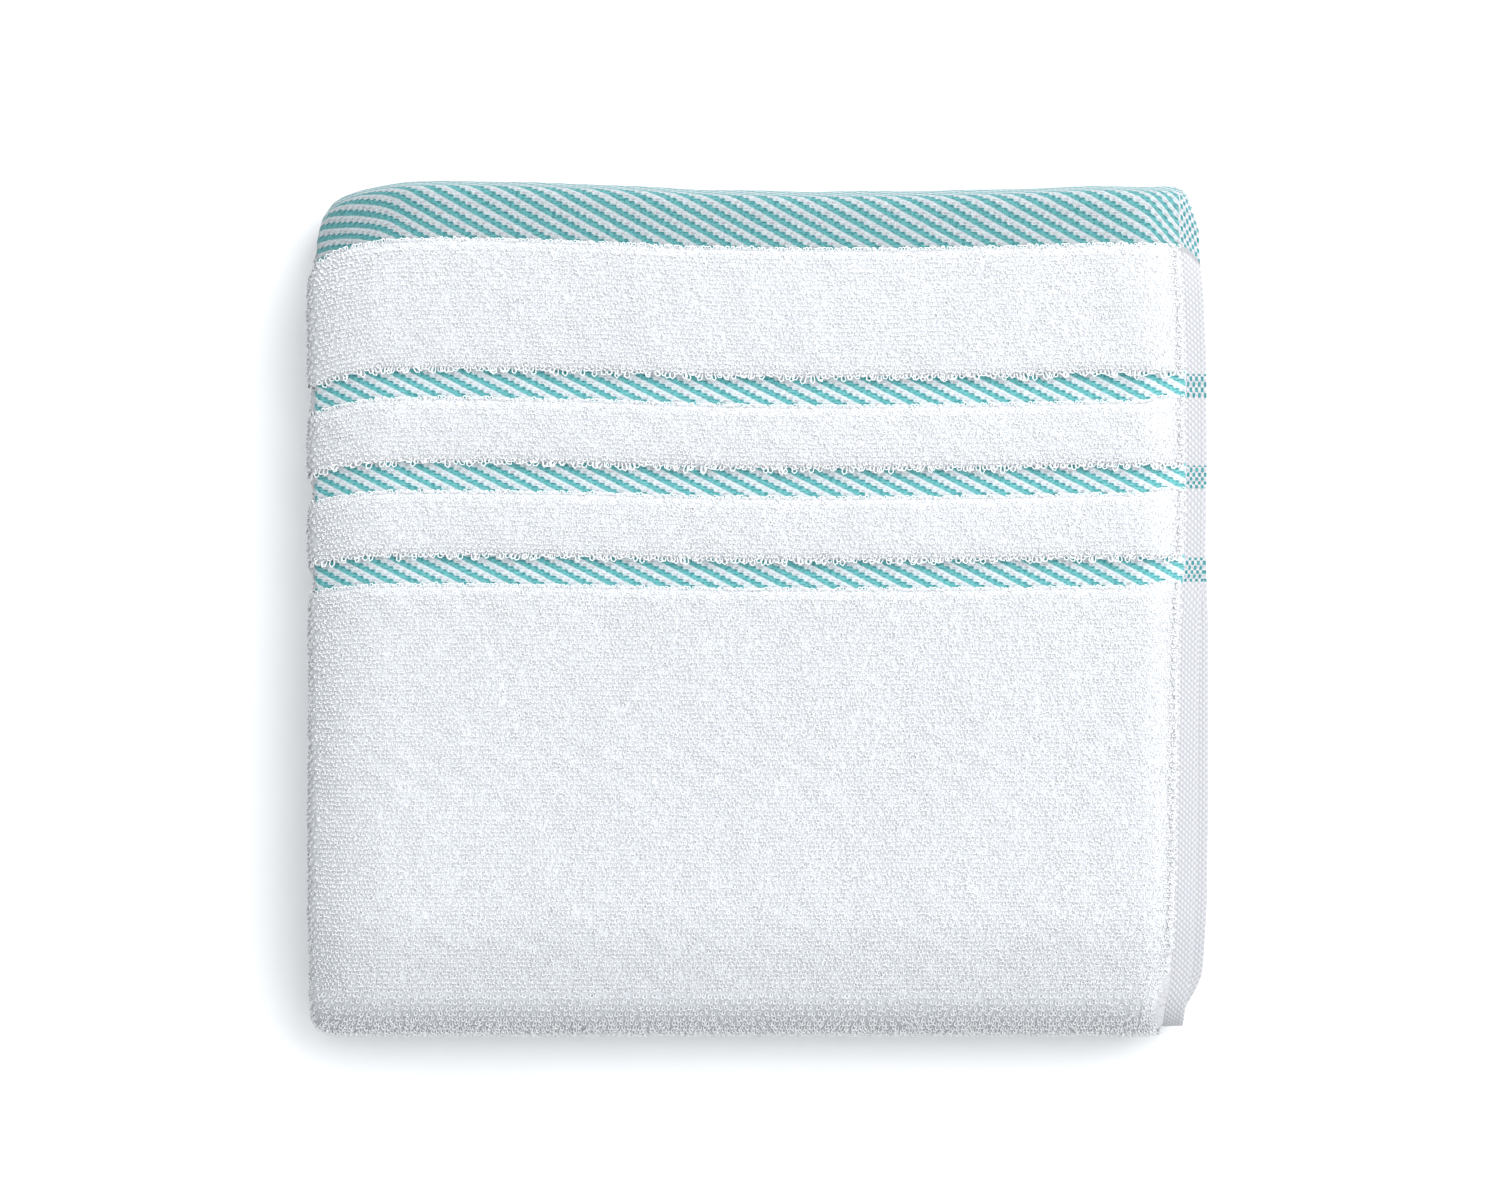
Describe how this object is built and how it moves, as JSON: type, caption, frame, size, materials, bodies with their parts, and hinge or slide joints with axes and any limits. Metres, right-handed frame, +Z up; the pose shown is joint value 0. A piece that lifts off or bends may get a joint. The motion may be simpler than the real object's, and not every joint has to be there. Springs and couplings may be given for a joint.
{
  "type": "folded bath towel",
  "caption": "Terry bath towel folded to a flat packet, flat dobby bands across it near one edge and woven selvedges down one side.",
  "frame": {"origin": "middle of the packet's face on the shelf: the centre of its bounding box, at the bottom", "axes": "+X across the packet from the lengthwise fold towards the selvedges, +Y from the front folds towards the banded edge, +Z up from the shelf"},
  "size_m": [0.344, 0.327, 0.0389],
  "materials": {
    "white_terry": "uncut cotton loop pile, matt",
    "aqua_dobby": "flat dobby weave, slanting aqua and white stripes, slight sheen",
    "white_hem": "plain weave turned under twice",
    "white_selvedge": "close plain weave, matt",
    "white_thread": "polyester sewing thread, slight sheen"
  },
  "bodies": {
    "root": {"display_hem": "white_hem", "display_hem_stitching": "white_thread", "display_narrow_band_1": "aqua_dobby", "display_narrow_band_2": "aqua_dobby", "display_narrow_band_3": "aqua_dobby", "display_narrow_terry_stripe_1": "white_terry", "display_narrow_terry_stripe_2": "white_terry", "display_wide_band": "aqua_dobby", "display_wide_terry_stripe": "white_terry", "field_back_fold": "white_terry", "field_bottom": "white_terry", "field_front_inner_fold": "white_terry", "field_front_outer_fold": "white_terry", "field_lower_middle": "white_terry", "field_top": "white_terry", "field_upper_middle": "white_terry", "inner_leaf_selvedge": "white_selvedge", "outer_leaf_selvedge": "white_selvedge", "tucked_hem": "white_hem", "tucked_hem_stitching": "white_thread", "tucked_narrow_band_1": "aqua_dobby", "tucked_narrow_band_2": "aqua_dobby", "tucked_narrow_band_3": "aqua_dobby", "tucked_narrow_terry_stripe_1": "white_terry", "tucked_narrow_terry_stripe_2": "white_terry", "tucked_wide_band": "aqua_dobby", "tucked_wide_terry_stripe": "white_terry"}
  },
  "joints": []
}
